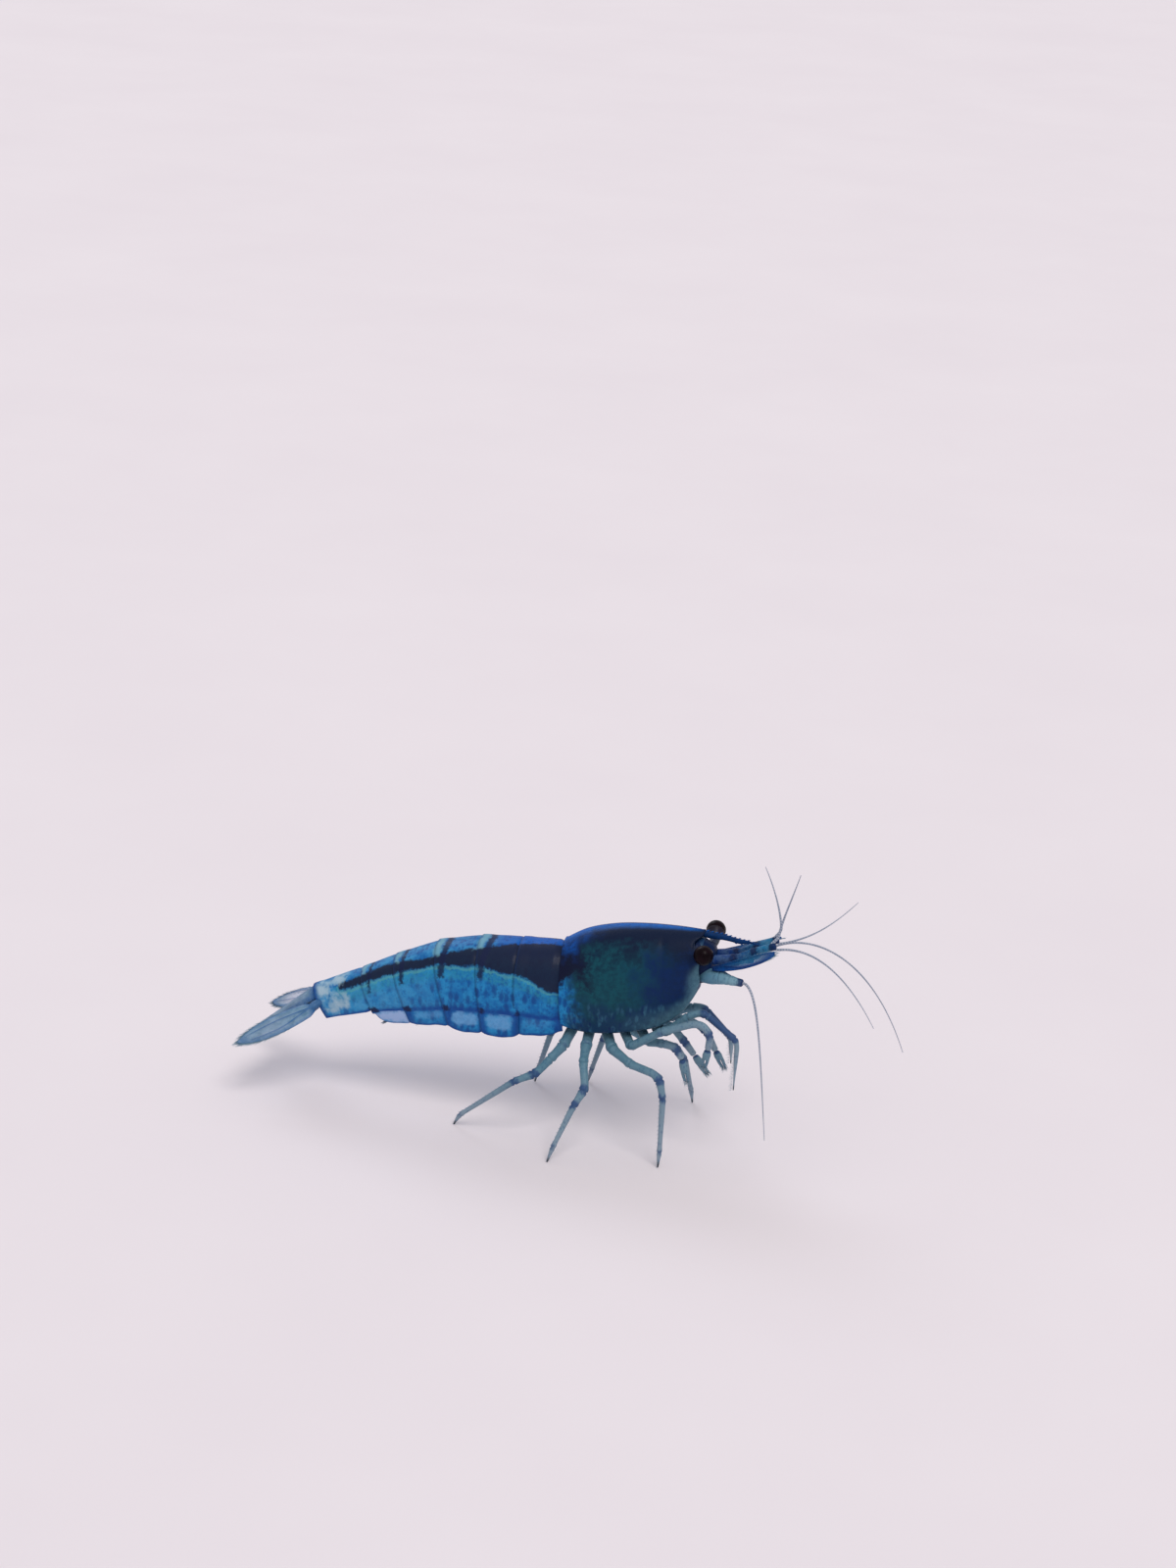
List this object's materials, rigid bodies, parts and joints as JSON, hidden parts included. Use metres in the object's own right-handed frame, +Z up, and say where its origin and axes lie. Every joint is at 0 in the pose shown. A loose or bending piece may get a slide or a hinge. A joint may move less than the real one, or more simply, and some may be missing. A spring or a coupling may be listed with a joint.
{
  "type": "aquarium shrimp",
  "caption": "Still, life-size model of a blue dwarf aquarium shrimp standing on its walking legs, feelers spread and tail fan half open.",
  "frame": {"origin": "on the floor, below the middle of the bounding box", "axes": "+X towards the head along the body, +Y to the animal's left, +Z up"},
  "size_m": [0.0306, 0.0096, 0.0142],
  "materials": {
    "shield_shell": "glossy, near-black blue mottled with teal",
    "ring_shell": "glossy, azure with dark back stripe and pale patches",
    "fin_membrane": "thin, translucent grey-blue with blue ribs",
    "leg_shell": "satin, grey-blue with dark blue joints",
    "feeler": "satin, ringed grey-blue",
    "cornea": "polished, near-black with a maroon tint",
    "underside": "satin, blue-grey"
  },
  "bodies": {
    "root": {"carapace": "shield_shell", "rostrum": "shield_shell", "head": "shield_shell", "thorax": "underside", "mouthparts": "underside", "abdomen_1": "ring_shell", "abdomen_2": "ring_shell", "abdomen_3": "ring_shell", "abdomen_4": "ring_shell", "abdomen_5": "ring_shell", "abdomen_6": "ring_shell", "telson": "fin_membrane", "uropod_endopod_left": "fin_membrane", "uropod_exopod_left": "fin_membrane", "eye_left": "cornea", "eyestalk_left": "leg_shell", "antennule_peduncle_left": "leg_shell", "antenna_peduncle_left": "leg_shell", "antennal_scale_left": "fin_membrane", "maxilliped_3_left": "leg_shell", "pleopod_1_left": "fin_membrane", "pleopod_2_left": "fin_membrane", "pleopod_3_left": "fin_membrane", "pleopod_4_left": "fin_membrane", "pleopod_5_left": "fin_membrane", "walking_leg_3_left": "leg_shell", "walking_leg_4_left": "leg_shell", "walking_leg_5_left": "leg_shell", "cheliped_1_left": "leg_shell", "cheliped_2_left": "leg_shell", "antenna_flagellum_left": "feeler", "antennule_outer_flagellum_left": "feeler", "antennule_inner_flagellum_left": "feeler", "uropod_endopod_right": "fin_membrane", "uropod_exopod_right": "fin_membrane", "eye_right": "cornea", "eyestalk_right": "leg_shell", "antennule_peduncle_right": "leg_shell", "antenna_peduncle_right": "leg_shell", "antennal_scale_right": "fin_membrane", "maxilliped_3_right": "leg_shell", "pleopod_1_right": "fin_membrane", "pleopod_2_right": "fin_membrane", "pleopod_3_right": "fin_membrane", "pleopod_4_right": "fin_membrane", "pleopod_5_right": "fin_membrane", "walking_leg_3_right": "leg_shell", "walking_leg_4_right": "leg_shell", "walking_leg_5_right": "leg_shell", "cheliped_1_right": "leg_shell", "cheliped_2_right": "leg_shell", "antenna_flagellum_right": "feeler", "antennule_outer_flagellum_right": "feeler", "antennule_inner_flagellum_right": "feeler"}
  },
  "joints": []
}
